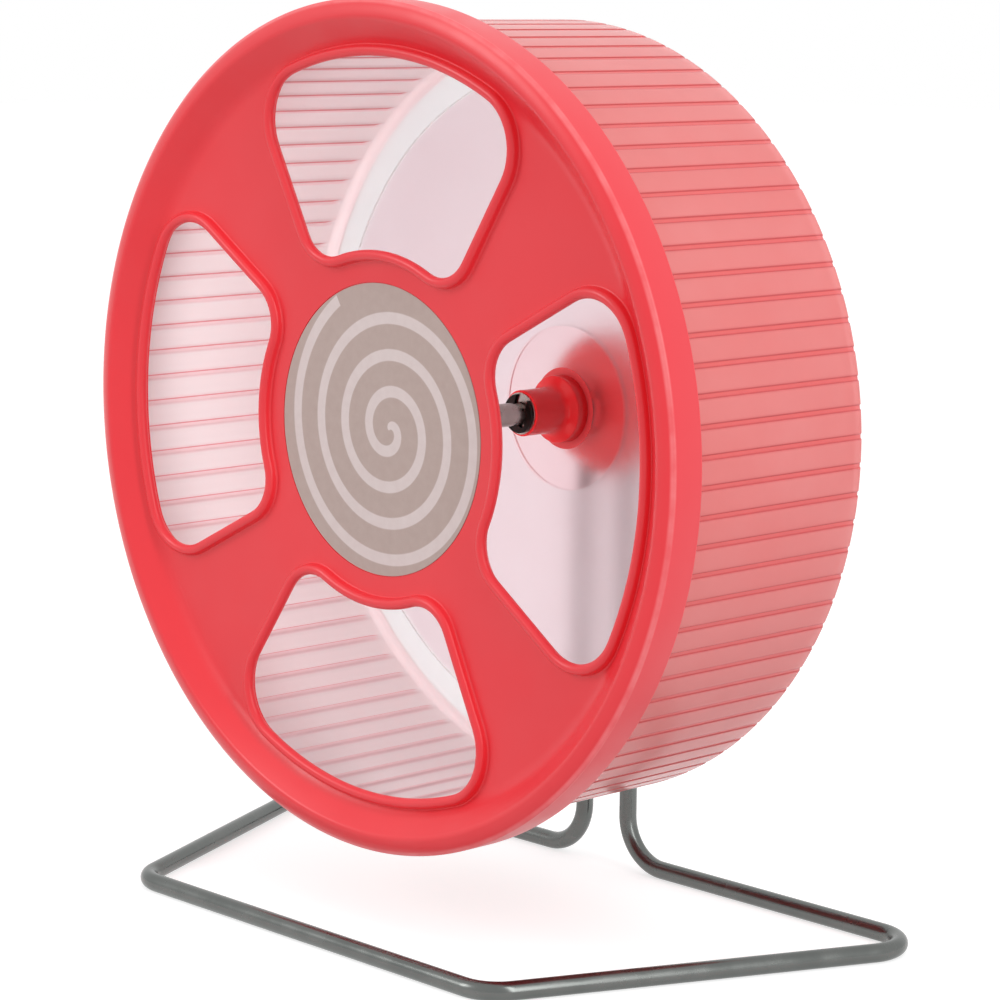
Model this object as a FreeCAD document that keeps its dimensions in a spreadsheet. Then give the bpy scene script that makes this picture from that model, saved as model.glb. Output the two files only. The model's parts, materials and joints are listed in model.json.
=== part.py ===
"""Rodent exercise wheel on a bent wire stand, in millimetres.

Frame: +Z up, the front disc faces -Y, and the origin is on the floor below the middle of the object.
Every piece is drawn in the wheel's own frame, whose origin is on the axle in the plane of the rim's
front edge, with Y along the axle towards the rear. Its Placement then lifts it to the axle's height.
"""
import FreeCAD, Part
import math
import os
from types import SimpleNamespace

import Sketcher

V = FreeCAD.Vector
DIAGONAL = math.sqrt(0.5)

# Driving dimensions, each written once. Radii and depths are measured from the wheel's own frame.
DIMENSIONS = {
    # Drum
    "drum_radius": 133.2,
    "drum_wall": 2.0,
    "drum_depth": 97.4,
    "rear_wall": 2.6,
    "rear_round": 3.0,
    "rear_step": 0.4,
    "rear_band": 13.8,
    "rear_pad_rim": 16.0,
    "rear_pad_height": 0.8,
    "rib_count": 90.0,
    "rib_width": 1.8,
    "rib_crown": 1.2,
    "rib_height": 0.9,
    "rib_root": 0.4,
    "rib_setback": 3.0,
    "rib_offset_angle": 3.4,
    # Front disc
    "rim_overhang": 6.8,
    "rim_crest": 6.2,
    "rim_fall": 2.0,
    "rim_edge_round": 0.6,
    "rim_inner_round": 2.2,
    "slope_width": 8.3,
    "slope_foot_round": 7.0,
    "face_recess": 7.8,
    "face_dish": 1.8,
    "disc_wall": 1.6,
    "skirt_lap": 1.0,
    "skirt_wall": 2.2,
    "channel_depth": 4.6,
    "seat_rise": 3.6,
    "seat_land": 2.4,
    "seat_ring_wall": 2.0,
    "seat_ring_height": 4.2,
    "snap_rise": 2.3,
    "snap_height": 0.5,
    "snap_width": 1.6,
    "snap_gap": 0.15,
    "boss_wall": 2.93,
    "boss_length": 22.0,
    # Openings in the front disc
    "opening_count": 4.0,
    "opening_margin": 3.9,
    "hub_margin": 10.9,
    "opening_half_angle": 30.4,
    "opening_side_shift": 2.3,
    "opening_outer_corner": 16.6,
    "opening_inner_corner": 13.3,
    "lip_radius": 1.8,
    "lip_rise": 1.3,
    # Hub
    "label_radius": 48.3,
    "label_thickness": 0.3,
    "label_gap": 0.3,
    "bush_wall": 1.6,
    "bush_flange_rim": 1.75,
    "bush_flange": 1.0,
    "front_bush_wall": 2.0,
    "front_bush_inset": 0.9,
    "sleeve_wall": 2.28,
    "sleeve_lip": 1.6,
    "sleeve_reach": 20.4,
    "flare_reach": 8.8,
    "collar_reach": 4.2,
    "collar_rim": 3.75,
    "collar_round": 5.0,
    "sleeve_tail_step": 0.25,
    "sleeve_tail": 4.2,
    "lock_ring_rim": 4.4,
    "lock_ring_thickness": 3.6,
    "lock_notch_count": 6.0,
    "lock_notch_radius": 1.6,
    # Axle and what holds the wheel on it
    "axle_radius": 4.0,
    "axle_inset": 1.9,
    "axle_chamfer": 0.7,
    "head_rim": 2.5,
    "head_height": 5.3,
    "groove_depth": 0.5,
    "clip_thickness": 0.9,
    "clip_rim": 2.7,
    "clip_prong": 0.7,
    "clip_relief": 1.5,
    "clip_turn": 18.0,
    "washer_thickness": 0.5,
    "washer_rim": 3.2,
    "thrust_thickness": 0.8,
    "thrust_rim": 4.5,
    # Bracket
    "bracket_rim": 8.5,
    "bracket_band": 2.6,
    "bracket_depth": 15.2,
    "bracket_nose_rim": 1.0,
    "bracket_crown": 18.0,
    "cover_web": 2.9,
    "cover_round": 2.2,
    "screw_spread": 16.5,
    "screw_radius": 1.75,
    "screw_length": 10.5,
    "screw_head_rim": 1.75,
    "screw_head_height": 2.2,
    "screw_head_recess": 2.6,
    # Stand
    "floor_clearance": 27.2,
    "wire_radius": 3.1,
    "head_web": 1.2,
    "upright_top": 13.0,
    "foot_bend": 17.0,
    "corner_bend": 14.0,
    "rear_half_width": 150.0,
    "front_half_width": 86.9,
    "front_reach": 23.1,
    # Fits and pose
    "running_gap": 0.05,
    "end_gap": 0.05,
    "press_gap": 0.02,
    "loose_gap": 0.1,
    "seat_gap": 0.15,
    "wheel_turn": 3.4,
}


class Size:
    """A size kept both as a number and as the sheet formula that binds it."""

    def __init__(self, number, formula):
        self.number = number
        self.formula = formula

    def __add__(self, other):
        other = as_size(other)
        return Size(self.number + other.number, f"({self.formula} + {other.formula})")

    def __sub__(self, other):
        other = as_size(other)
        return Size(self.number - other.number, f"({self.formula} - {other.formula})")

    def __mul__(self, other):
        other = as_size(other)
        return Size(self.number * other.number, f"({self.formula} * {other.formula})")

    def __truediv__(self, other):
        other = as_size(other)
        return Size(self.number / other.number, f"({self.formula} / {other.formula})")

    def __neg__(self):
        return Size(-self.number, f"(0 - {self.formula})")

    def __radd__(self, other):
        return as_size(other) + self

    def __rsub__(self, other):
        return as_size(other) - self

    def __rmul__(self, other):
        return as_size(other) * self

    def __rtruediv__(self, other):
        return as_size(other) / self


def as_size(value):
    return value if isinstance(value, Size) else Size(float(value), repr(float(value)))


def make_sheet(doc):
    """Spreadsheet of the driving dimensions; returns its cells as sizes."""
    sheet = doc.addObject("Spreadsheet::Sheet", "Sheet")
    cells = SimpleNamespace()
    for row, (alias, value) in enumerate(DIMENSIONS.items(), start=1):
        sheet.set(f"A{row}", alias)
        sheet.set(f"B{row}", str(value))
        sheet.setAlias(f"B{row}", alias)
        setattr(cells, alias, Size(value, f"Sheet.{alias}"))
    doc.recompute()
    return cells


DOC = FreeCAD.newDocument("exercise_wheel")
dim = make_sheet(DOC)


def slant(slope):
    """Length along a slope for each unit of its run."""
    return Size(math.hypot(1, slope.number), f"sqrt(1 + {slope.formula}^2)")


# Radii that several pieces share, worked out from the driving dimensions
DRUM_INNER = dim.drum_radius - dim.drum_wall
RIM = dim.drum_radius + dim.rim_overhang
CREST = RIM - dim.rim_crest
SLOPE_FOOT = CREST - dim.slope_width
OPENING_OUTER = SLOPE_FOOT - dim.opening_margin
OPENING_INNER = dim.label_radius + dim.hub_margin
BUSH_BORE = dim.axle_radius + dim.running_gap
REAR_BUSH = BUSH_BORE + dim.bush_wall
FRONT_BUSH = BUSH_BORE + dim.front_bush_wall
SLEEVE = REAR_BUSH + dim.press_gap + dim.sleeve_wall
SLEEVE_TAIL = SLEEVE + dim.sleeve_tail_step
LOCK_RING = SLEEVE_TAIL + dim.lock_ring_rim
WASHER_HOLE = dim.axle_radius + dim.loose_gap
GROOVE = dim.axle_radius - dim.groove_depth
THRUST_WASHER = dim.axle_radius + dim.thrust_rim
HEAD_FLATS = (dim.axle_radius + dim.head_rim) * 2
BRACKET = dim.screw_spread + dim.bracket_rim
SCREW_HEAD = dim.screw_radius + dim.screw_head_rim

# Depths behind the plane of the rim's front edge
SLOPE = dim.face_recess / dim.slope_width
WALL_ALONG_AXLE = dim.disc_wall * slant(SLOPE)
WALL_KINK = dim.disc_wall * (slant(SLOPE) - 1) / SLOPE
SEAT_INNER = dim.drum_radius - dim.seat_land
SLOPE_BACK = (CREST - SEAT_INNER) * SLOPE + WALL_ALONG_AXLE
DRUM_FRONT = SLOPE_BACK + dim.seat_rise
SEAT_RING_END = DRUM_FRONT + dim.seat_ring_height
SNAP = DRUM_FRONT + dim.snap_rise
HUB_FACE = dim.face_recess + dim.face_dish
LABEL_SEAT = HUB_FACE + dim.label_thickness
HUB_BACK = LABEL_SEAT + dim.disc_wall
BOSS_END = HUB_BACK + dim.boss_length
DRUM_FLOOR = dim.drum_depth - dim.rear_wall
SLEEVE_FRONT = DRUM_FLOOR - dim.sleeve_reach
COLLAR_SEAT = DRUM_FLOOR + dim.rear_step
PAD_FACE = dim.drum_depth + dim.rear_pad_height
SLEEVE_END = PAD_FACE + dim.sleeve_tail
BUSH_END = SLEEVE_END + dim.bush_flange
THRUST_FRONT = BUSH_END + dim.end_gap
NOSE_FACE = THRUST_FRONT + dim.thrust_thickness + dim.end_gap
WIRE_PLANE = NOSE_FACE + dim.bracket_depth
HEAD_FRONT = WIRE_PLANE - dim.head_height
COVER_BACK = WIRE_PLANE + dim.wire_radius + dim.cover_web
SCREW_SEAT = COVER_BACK - dim.screw_head_recess
WASHER_FRONT = SLEEVE_FRONT - dim.end_gap - dim.washer_thickness
CLIP_FRONT = WASHER_FRONT - dim.end_gap - dim.clip_thickness

# Places of the stand and of the whole wheel
AXLE_HEIGHT = RIM + dim.floor_clearance
FLOOR = dim.wire_radius - AXLE_HEIGHT
UPRIGHT_SPREAD = HEAD_FLATS / 2 + dim.head_web + dim.wire_radius
DISH_SLOPE = dim.face_dish / (SLOPE_FOOT - dim.label_radius)
FRAME_SHIFT = (dim.front_reach + dim.wire_radius - COVER_BACK) / 2


def place(piece, turn=None):
    """Lift a piece from the wheel's frame to the floor frame, turned about the axle if asked."""
    if turn is not None:
        piece.Placement = FreeCAD.Placement(V(), FreeCAD.Rotation(V(0, 1, 0), turn.number))
        piece.setExpression("Placement.Rotation.Angle", f"{turn.formula} * 1 deg")
    piece.setExpression("Placement.Base.y", FRAME_SHIFT.formula)
    piece.setExpression("Placement.Base.z", AXLE_HEIGHT.formula)
    return piece


def new_body(label, turn=None):
    body = DOC.addObject("PartDesign::Body", label)
    body.Label = label
    return place(body, turn)


def origin_feature(body, role):
    return next(f for f in body.Origin.OriginFeatures if f.Role == role)


def sketch_on(body, name, role, offset=None):
    """Sketch on one of the body's own origin planes, moved along its normal by offset."""
    sketch = body.newObject("Sketcher::SketchObject", f"{body.Name}_{name}")
    sketch.AttachmentSupport = (origin_feature(body, role), [""])
    sketch.MapMode = "FlatFace"
    if offset is not None:
        sketch.setExpression("AttachmentOffset.Base.z", offset.formula)
    return sketch


def bind_constraint(sketch, kind, *geometry, size, unit=""):
    number = math.radians(size.number) if unit else size.number
    index = sketch.addConstraint(Sketcher.Constraint(kind, *geometry, number))
    sketch.setExpression(f"Constraints[{index}]", size.formula + unit)


def pin_point(sketch, geometry, position, point):
    """Tie a vertex to the sketch origin by its two coordinates."""
    for kind, size in zip(("DistanceX", "DistanceY"), point):
        bind_constraint(sketch, kind, -1, 1, geometry, position, size=as_size(size))


def arc_between(start, end, radius):
    """Arc under a half circle; a positive radius bulges to the left of the way from start to end."""
    chord = end - start
    left = V(-chord.y, chord.x, 0).normalize()
    rise = abs(radius) - math.sqrt(radius ** 2 - chord.Length ** 2 / 4)
    return Part.Arc(start, (start + end) * 0.5 + left * math.copysign(rise, radius), end)


def add_chain(sketch, curves):
    """Add curves that follow each other; returns (geometry, start vertex, end vertex) for each."""
    links = []
    for start, curve in curves:
        index = sketch.addGeometry(curve)
        forward = sketch.getPoint(index, 1).isEqual(start, 1e-6)
        links.append((index, 1, 2) if forward else (index, 2, 1))
    return links


def join(sketch, kind, link, following):
    sketch.addConstraint(Sketcher.Constraint(kind, link[0], link[2], following[0], following[1]))


def outline(sketch, corners):
    """Closed outline; a corner is (x, y), or (x, y, radius) where an arc leads to the next one."""
    points = [V(as_size(c[0]).number, as_size(c[1]).number, 0) for c in corners]
    following = points[1:] + points[:1]
    curves = []
    for corner, start, end in zip(corners, points, following):
        is_arc = len(corner) == 3
        curve = arc_between(start, end, corner[2].number) if is_arc else Part.LineSegment(start, end)
        curves.append((start, curve))
    links = add_chain(sketch, curves)
    for corner, link, next_link in zip(corners, links, links[1:] + links[:1]):
        join(sketch, "Coincident", link, next_link)
        pin_point(sketch, link[0], link[1], corner[:2])
        if len(corner) == 3:
            magnitude = corner[2] if corner[2].number > 0 else -corner[2]
            bind_constraint(sketch, "Radius", link[0], size=magnitude)
    return sketch


def circle(sketch, x, y, radius):
    centre = V(as_size(x).number, as_size(y).number, 0)
    index = sketch.addGeometry(Part.Circle(centre, V(0, 0, 1), radius.number))
    pin_point(sketch, index, 3, (x, y))
    bind_constraint(sketch, "Radius", index, size=radius)
    return sketch


def rectangle(sketch, left, right, bottom, top):
    return outline(sketch, [(left, bottom), (right, bottom), (right, top), (left, top)])


def feature(body, kind, name, profile):
    made = body.newObject(f"PartDesign::{kind}", f"{body.Name}_{name}")
    made.Profile = profile
    return made


def turned(body, corners, name="section"):
    """Solid of revolution about the axle from an outline of (radius, depth) corners."""
    sketch = outline(sketch_on(body, name, "XY_Plane"), corners)
    made = feature(body, "Revolution", f"{name}_turned", sketch)
    made.ReferenceAxis = (sketch, ["V_Axis"])
    made.Angle = 360
    return made


def pad(body, name, sketch, length):
    """Pad towards the rear from a sketch that stands across the axle."""
    made = feature(body, "Pad", name, sketch)
    made.setExpression("Length", length.formula)
    made.Reversed = True
    return made


def pocket(body, name, sketch, length=None):
    """Pocket along the sketch's negative normal, rearwards or down; through all by default."""
    made = feature(body, "Pocket", name, sketch)
    if length is None:
        made.Type = "ThroughAll"
    else:
        made.setExpression("Length", length.formula)
    return made


def polar(body, name, originals, count):
    made = body.newObject("PartDesign::PolarPattern", f"{body.Name}_{name}")
    made.Originals = originals
    made.Axis = (origin_feature(body, "Y_Axis"), [""])
    made.Angle = 360
    made.setExpression("Occurrences", count.formula)
    body.Tip = made
    return made


def round_rings(body, name, base, rings, radius):
    """Fillet the whole-circle edges that lie at the given (radius, depth) places."""
    DOC.recompute()
    edges = []
    for number, edge in enumerate(base.Shape.Edges, start=1):
        if not isinstance(edge.Curve, Part.Circle):
            continue
        place_found = V(edge.Curve.Radius, edge.Curve.Center.y, 0)
        if any(place_found.isEqual(V(r.number, y.number, 0), 1e-4) for r, y in rings):
            edges.append(f"Edge{number}")
    made = body.newObject("PartDesign::Fillet", f"{body.Name}_{name}")
    made.Base = (base, edges)
    made.setExpression("Radius", radius.formula)
    return made


def opening_curves(outer, inner, outer_corner, inner_corner, side):
    """Curves of a sector whose straight sides pass the axle at the distance side, from the top middle on."""
    half = math.radians(dim.opening_half_angle.number)
    along = V(math.sin(half), math.cos(half), 0)
    inwards = V(-along.y, along.x, 0)

    def corner(centre_radius, radius, arc_radius):
        across = radius - side
        centre = along * math.sqrt(centre_radius ** 2 - across ** 2) + inwards * across
        on_side = centre - inwards * radius
        on_arc = V(centre).normalize() * arc_radius
        return centre, on_side, on_arc

    def mirrored(point):
        return V(-point.x, point.y, 0)

    def through(start, middle, end):
        return start, Part.Arc(start, middle, end)

    top = V(0, outer, 0)
    centre_o, side_o, arc_o = corner(outer - outer_corner, outer_corner, outer)
    centre_i, side_i, arc_i = corner(inner + inner_corner, inner_corner, inner)
    knee_o = centre_o + ((side_o + arc_o) * 0.5 - centre_o).normalize() * outer_corner
    knee_i = centre_i + ((side_i + arc_i) * 0.5 - centre_i).normalize() * inner_corner
    crown = ((top + arc_o) * 0.5).normalize() * outer
    return [
        through(top, crown, arc_o),
        through(arc_o, knee_o, side_o),
        (side_o, Part.LineSegment(side_o, side_i)),
        through(side_i, knee_i, arc_i),
        through(arc_i, V(0, inner, 0), mirrored(arc_i)),
        through(mirrored(arc_i), mirrored(knee_i), mirrored(side_i)),
        (mirrored(side_i), Part.LineSegment(mirrored(side_i), mirrored(side_o))),
        through(mirrored(side_o), mirrored(knee_o), mirrored(arc_o)),
        through(mirrored(arc_o), mirrored(crown), top),
    ]


def opening_outline(sketch, outset):
    """Sketch of one opening's outline, moved outwards by outset and centred on the upward direction."""
    outer = OPENING_OUTER + outset
    inner = OPENING_INNER - outset
    outer_corner = dim.opening_outer_corner + outset
    inner_corner = dim.opening_inner_corner + outset
    side_distance = dim.opening_side_shift + outset
    sizes = (outer, inner, outer_corner, inner_corner, side_distance)
    links = add_chain(sketch, opening_curves(*(size.number for size in sizes)))
    for link, following in zip(links[:-1], links[1:]):
        join(sketch, "Tangent", link, following)
    join(sketch, "Coincident", links[-1], links[0])
    for arc in (0, 4, 8):
        sketch.addConstraint(Sketcher.Constraint("Coincident", links[arc][0], 3, -1, 1))
    sketch.addConstraint(Sketcher.Constraint("PointOnObject", links[0][0], links[0][1], -2))
    for arc, size in ((0, outer), (4, inner), (1, outer_corner), (7, outer_corner),
                      (3, inner_corner), (5, inner_corner)):
        bind_constraint(sketch, "Radius", links[arc][0], size=size)
    for side in (2, 6):
        bind_constraint(sketch, "Distance", -1, 1, links[side][0], size=side_distance)
    turn = dim.opening_half_angle
    bind_constraint(sketch, "Angle", links[2][0], links[2][2], -2, 1, size=turn, unit=" * 1 deg")
    bind_constraint(sketch, "Angle", -2, 1, links[6][0], links[6][1], size=turn, unit=" * 1 deg")
    return sketch


def front_disc():
    """Dished disc with a rounded rim, a skirt, a seat for the drum, a blind boss and lipped openings."""
    body = new_body("front_disc", dim.wheel_turn)
    label_seat_radius = dim.label_radius + dim.label_gap
    ring_inner = dim.drum_radius + dim.seat_gap
    ring_outer = ring_inner + dim.seat_ring_wall
    skirt_inner = RIM - dim.skirt_wall
    skirt_end = SEAT_RING_END + dim.skirt_lap
    bore = FRONT_BUSH + dim.press_gap
    boss = bore + dim.boss_wall
    groove_reach = dim.snap_width / 2 + dim.snap_gap
    land_round = (dim.rim_crest * dim.rim_crest + dim.rim_fall * dim.rim_fall) / (dim.rim_fall * 2)
    section = turned(body, [
        (0, LABEL_SEAT),
        (label_seat_radius, LABEL_SEAT),
        (label_seat_radius, HUB_FACE),
        (SLOPE_FOOT, dim.face_recess),
        (CREST, 0, -land_round),
        (RIM, dim.rim_fall),
        (RIM, skirt_end),
        (skirt_inner, skirt_end),
        (skirt_inner, dim.channel_depth),
        (ring_outer, dim.channel_depth),
        (ring_outer, SEAT_RING_END),
        (ring_inner, SEAT_RING_END),
        (ring_inner, SNAP + groove_reach),
        (ring_inner + dim.snap_height, SNAP),
        (ring_inner, SNAP - groove_reach),
        (ring_inner, DRUM_FRONT),
        (SEAT_INNER, DRUM_FRONT),
        (SEAT_INNER, SLOPE_BACK),
        (SLOPE_FOOT + WALL_KINK, dim.face_recess + dim.disc_wall),
        (boss, HUB_BACK),
        (boss, BOSS_END),
        (bore, BOSS_END),
        (bore, HUB_BACK),
        (0, HUB_BACK),
    ])
    edged = round_rings(body, "rim_edge", section, [(RIM, dim.rim_fall)], dim.rim_edge_round)
    crested = round_rings(body, "rim_inner", edged, [(CREST, as_size(0))], dim.rim_inner_round)
    round_rings(body, "slope_foot", crested, [(SLOPE_FOOT, dim.face_recess)], dim.slope_foot_round)
    polar(body, "openings", cut_opening(body), dim.opening_count)
    return body


def cut_opening(body):
    """One opening at the top: the cut through the disc, then a round bead along its front edge."""
    tilt_cos = 1 / slant(DISH_SLOPE)
    tilt_sin = tilt_cos * DISH_SLOPE
    bead_base = dim.face_recess + DISH_SLOPE * SLOPE_FOOT - dim.lip_rise
    hole = opening_outline(sketch_on(body, "opening", "XZ_Plane"), dim.lip_radius)
    cut = pocket(body, "opening_cut", hole)
    path = sketch_on(body, "lip_path", "XZ_Plane", -bead_base)
    tilt = math.degrees(math.atan(DISH_SLOPE.number))
    path.AttachmentOffset = FreeCAD.Placement(V(0, 0, -bead_base.number),
                                              FreeCAD.Rotation(V(1, 0, 0), tilt))
    path.setExpression("AttachmentOffset.Rotation.Angle", f"atan({DISH_SLOPE.formula})")
    opening_outline(path, dim.lip_radius)
    top = OPENING_OUTER + dim.lip_radius
    bead_section = circle(sketch_on(body, "lip_section", "YZ_Plane"), bead_base - top * tilt_sin,
                          top * tilt_cos, dim.lip_radius)
    bead = feature(body, "AdditivePipe", "lip", bead_section)
    bead.Spine = path
    return [cut, bead]


def drum():
    """Tub with a ribbed running surface inside and a flat rear wall that carries the hub."""
    body = new_body("drum", dim.wheel_turn)
    hole = SLEEVE_TAIL + dim.seat_gap
    pad_radius = LOCK_RING + dim.rear_pad_rim
    step_radius = DRUM_INNER - dim.rear_band
    section = turned(body, [
        (DRUM_INNER, DRUM_FRONT),
        (dim.drum_radius, DRUM_FRONT),
        (dim.drum_radius, SNAP - dim.snap_width / 2),
        (dim.drum_radius + dim.snap_height, SNAP),
        (dim.drum_radius, SNAP + dim.snap_width / 2),
        (dim.drum_radius, dim.drum_depth),
        (pad_radius, dim.drum_depth),
        (pad_radius, PAD_FACE),
        (hole, PAD_FACE),
        (hole, COLLAR_SEAT),
        (step_radius, COLLAR_SEAT),
        (step_radius, DRUM_FLOOR),
        (DRUM_INNER, DRUM_FLOOR),
    ])
    round_rings(body, "rear_edge", section, [(dim.drum_radius, dim.drum_depth)], dim.rear_round)
    rib_front = DRUM_FRONT + dim.rib_setback
    rib = sketch_on(body, "rib", "XZ_Plane", -rib_front)
    rib.AttachmentOffset = FreeCAD.Placement(V(0, 0, -rib_front.number),
                                             FreeCAD.Rotation(V(0, 0, 1), dim.rib_offset_angle.number))
    rib.setExpression("AttachmentOffset.Rotation.Angle", f"{dim.rib_offset_angle.formula} * 1 deg")
    root = DRUM_INNER + dim.rib_root
    crown = DRUM_INNER - dim.rib_height
    outline(rib, [
        (-dim.rib_width / 2, root),
        (-dim.rib_crown / 2, crown),
        (dim.rib_crown / 2, crown),
        (dim.rib_width / 2, root),
    ])
    bar = pad(body, "rib_bar", rib, DRUM_FLOOR + dim.rib_root - rib_front)
    polar(body, "ribs", [bar], dim.rib_count)
    return body


def hub_label():
    """Thin printed disc in the shallow recess of the hub."""
    body = new_body("hub_label", dim.wheel_turn)
    turned(body, [
        (0, HUB_FACE),
        (dim.label_radius, HUB_FACE),
        (dim.label_radius, LABEL_SEAT),
        (0, LABEL_SEAT),
    ])
    return body


def hub_sleeve():
    """Stepped sleeve through the rear wall, with a flared collar in front of it."""
    body = new_body("hub_sleeve", dim.wheel_turn)
    bore = REAR_BUSH + dim.press_gap
    collar = SLEEVE + dim.collar_rim
    turned(body, [
        (WASHER_HOLE, SLEEVE_FRONT),
        (SLEEVE, SLEEVE_FRONT),
        (SLEEVE, DRUM_FLOOR - dim.flare_reach, -dim.collar_round),
        (collar, DRUM_FLOOR - dim.collar_reach),
        (collar, COLLAR_SEAT),
        (SLEEVE_TAIL, COLLAR_SEAT),
        (SLEEVE_TAIL, SLEEVE_END),
        (bore, SLEEVE_END),
        (bore, SLEEVE_FRONT + dim.sleeve_lip),
        (WASHER_HOLE, SLEEVE_FRONT + dim.sleeve_lip),
    ])
    return body


def hub_lock_ring():
    """Notched ring on the sleeve's tail that clamps the rear wall."""
    body = new_body("hub_lock_ring", dim.wheel_turn)
    back = PAD_FACE + dim.lock_ring_thickness
    hole = SLEEVE_TAIL + dim.press_gap
    turned(body, [
        (hole, PAD_FACE),
        (LOCK_RING, PAD_FACE),
        (LOCK_RING, back),
        (hole, back),
    ])
    notch = circle(sketch_on(body, "notch", "XZ_Plane"), 0, LOCK_RING, dim.lock_notch_radius)
    polar(body, "notches", [pocket(body, "notch_cut", notch)], dim.lock_notch_count)
    return body


def rear_bush():
    """Flanged plain bush in the sleeve; its flange runs against the thrust washer."""
    body = new_body("rear_bush", dim.wheel_turn)
    front = SLEEVE_FRONT + dim.sleeve_lip
    flange = REAR_BUSH + dim.bush_flange_rim
    turned(body, [
        (BUSH_BORE, front),
        (REAR_BUSH, front),
        (REAR_BUSH, SLEEVE_END),
        (flange, SLEEVE_END),
        (flange, BUSH_END),
        (BUSH_BORE, BUSH_END),
    ])
    return body


def front_bush():
    """Plain bush in the front disc's blind boss."""
    body = new_body("front_bush", dim.wheel_turn)
    front = HUB_BACK + dim.front_bush_inset
    turned(body, [
        (BUSH_BORE, front),
        (FRONT_BUSH, front),
        (FRONT_BUSH, BOSS_END),
        (BUSH_BORE, BOSS_END),
    ])
    return body


def hexagon(sketch, flats):
    """Hexagon with two flats upright, centred on the sketch origin."""
    half = flats / 2
    point = half * (2 / math.sqrt(3))
    return outline(sketch, [
        (0, point),
        (half, point / 2),
        (half, -point / 2),
        (0, -point),
        (-half, -point / 2),
        (-half, point / 2),
    ])


def axle():
    """Steel rod with a chamfered front end, a groove for the clip and a hexagon head."""
    body = new_body("axle")
    tip = HUB_BACK + dim.axle_inset
    groove_front = CLIP_FRONT - dim.end_gap
    groove_back = CLIP_FRONT + dim.clip_thickness + dim.end_gap
    turned(body, [
        (0, tip),
        (dim.axle_radius - dim.axle_chamfer, tip),
        (dim.axle_radius, tip + dim.axle_chamfer),
        (dim.axle_radius, groove_front),
        (GROOVE, groove_front),
        (GROOVE, groove_back),
        (dim.axle_radius, groove_back),
        (dim.axle_radius, HEAD_FRONT),
        (0, HEAD_FRONT),
    ])
    head = hexagon(sketch_on(body, "head", "XZ_Plane", -HEAD_FRONT), HEAD_FLATS)
    pad(body, "head_pad", head, dim.head_height)
    return body


def washer(label, front, thickness, radius):
    """Plain washer on the axle."""
    body = new_body(label)
    turned(body, [
        (WASHER_HOLE, front),
        (radius, front),
        (radius, front + thickness),
        (WASHER_HOLE, front + thickness),
    ])
    return body


def retaining_clip():
    """E-shaped clip in the axle's groove, open on one side, with two relief scallops."""
    body = new_body("retaining_clip", dim.clip_turn)
    radius = dim.axle_radius + dim.clip_rim
    blank = circle(sketch_on(body, "blank", "XZ_Plane", -CLIP_FRONT), 0, 0, radius)
    pad(body, "plate", blank, dim.clip_thickness)
    grip = GROOVE + dim.press_gap
    half_mouth = GROOVE - dim.clip_prong
    seat = circle(sketch_on(body, "seat", "XZ_Plane"), 0, 0, grip)
    pocket(body, "seat_cut", seat)
    mouth = sketch_on(body, "mouth", "XZ_Plane")
    rectangle(mouth, -half_mouth, half_mouth, 0, radius * 2)
    pocket(body, "mouth_cut", mouth)
    for side, word in ((-1, "left"), (1, "right")):
        scallop = sketch_on(body, f"scallop_{word}", "XZ_Plane")
        circle(scallop, grip * (side * DIAGONAL), -grip * DIAGONAL, dim.clip_relief)
        pocket(body, f"scallop_cut_{word}", scallop)
    return body


def cut_wire_channels(body):
    """Round channels for the tops of the two uprights, open at the bottom."""
    for side, word in ((-1, "left"), (1, "right")):
        channel = sketch_on(body, f"channel_{word}", "XY_Plane", dim.upright_top)
        circle(channel, UPRIGHT_SPREAD * side, WIRE_PLANE, dim.wire_radius + dim.press_gap)
        pocket(body, f"channel_cut_{word}", channel)


def cut_screw_holes(body, name, front, radius, length):
    """A hole above and below the axle, cut towards the rear from the given depth."""
    for side, word in ((-1, "lower"), (1, "upper")):
        hole = sketch_on(body, f"{name}_{word}", "XZ_Plane", -front)
        circle(hole, 0, dim.screw_spread * side, radius)
        pocket(body, f"{name}_cut_{word}", hole, length)


def axle_bracket():
    """Domed front half of the bracket: nose for the thrust washer, pocket for the axle's head."""
    body = new_body("axle_bracket")
    bore = dim.axle_radius + dim.press_gap
    turned(body, [
        (bore, NOSE_FACE),
        (THRUST_WASHER + dim.bracket_nose_rim, NOSE_FACE, -dim.bracket_crown),
        (BRACKET, WIRE_PLANE - dim.bracket_band),
        (BRACKET, WIRE_PLANE),
        (bore, WIRE_PLANE),
    ])
    head = hexagon(sketch_on(body, "head_seat", "XZ_Plane", -HEAD_FRONT), HEAD_FLATS + dim.loose_gap)
    pocket(body, "head_seat_cut", head)
    cut_wire_channels(body)
    pilot_front = SCREW_SEAT - dim.screw_length
    cut_screw_holes(body, "pilot", pilot_front, dim.screw_radius + dim.press_gap, dim.screw_length)
    return body


def bracket_cover():
    """Rear half of the bracket, with recessed screw holes."""
    body = new_body("bracket_cover")
    section = turned(body, [
        (0, WIRE_PLANE),
        (BRACKET, WIRE_PLANE),
        (BRACKET, COVER_BACK),
        (0, COVER_BACK),
    ])
    round_rings(body, "back_edge", section, [(BRACKET, COVER_BACK)], dim.cover_round)
    cut_wire_channels(body)
    shank = dim.screw_radius + dim.loose_gap
    cut_screw_holes(body, "hole", WIRE_PLANE, shank, COVER_BACK - WIRE_PLANE)
    cut_screw_holes(body, "recess", SCREW_SEAT, SCREW_HEAD + dim.loose_gap, dim.screw_head_recess)
    return body


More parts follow.
